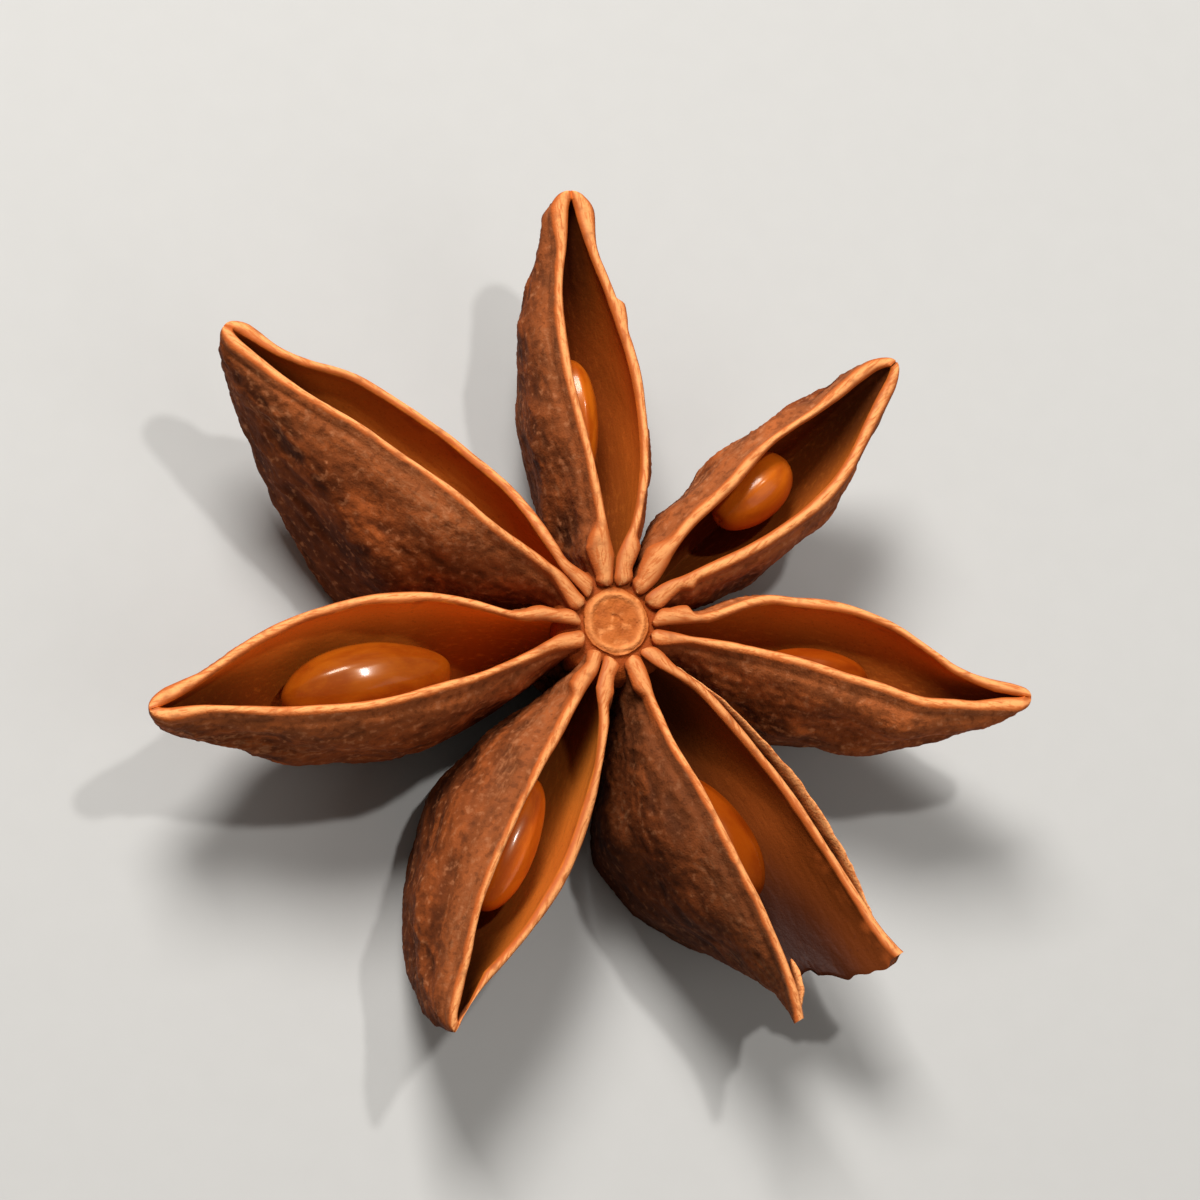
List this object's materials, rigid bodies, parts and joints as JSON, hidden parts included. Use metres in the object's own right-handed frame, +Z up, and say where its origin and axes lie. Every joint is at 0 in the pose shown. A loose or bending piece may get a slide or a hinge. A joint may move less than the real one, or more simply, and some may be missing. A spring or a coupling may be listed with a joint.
{
  "type": "star anise pod",
  "caption": "Dried star-shaped spice pod, lying open side up: boat-shaped arms round a short column, each split along its upper edge, with glossy seeds in the hollows.",
  "frame": {"origin": "middle of the stalk scar under the column, on the surface that the pod rests on", "axes": "+Z up through the column, out of the open side; +X towards the right arm, along the longest way across; +Y towards the top arm"},
  "size_m": [0.0433, 0.0417, 0.0098],
  "materials": {
    "bark": "rough",
    "seed_coat": "glossy"
  },
  "bodies": {
    "root": {"fruit": "bark", "seed_right": "seed_coat", "seed_upper_right": "seed_coat", "seed_top": "seed_coat", "seed_left": "seed_coat", "seed_lower_left": "seed_coat", "seed_lower_right": "seed_coat"}
  },
  "joints": []
}
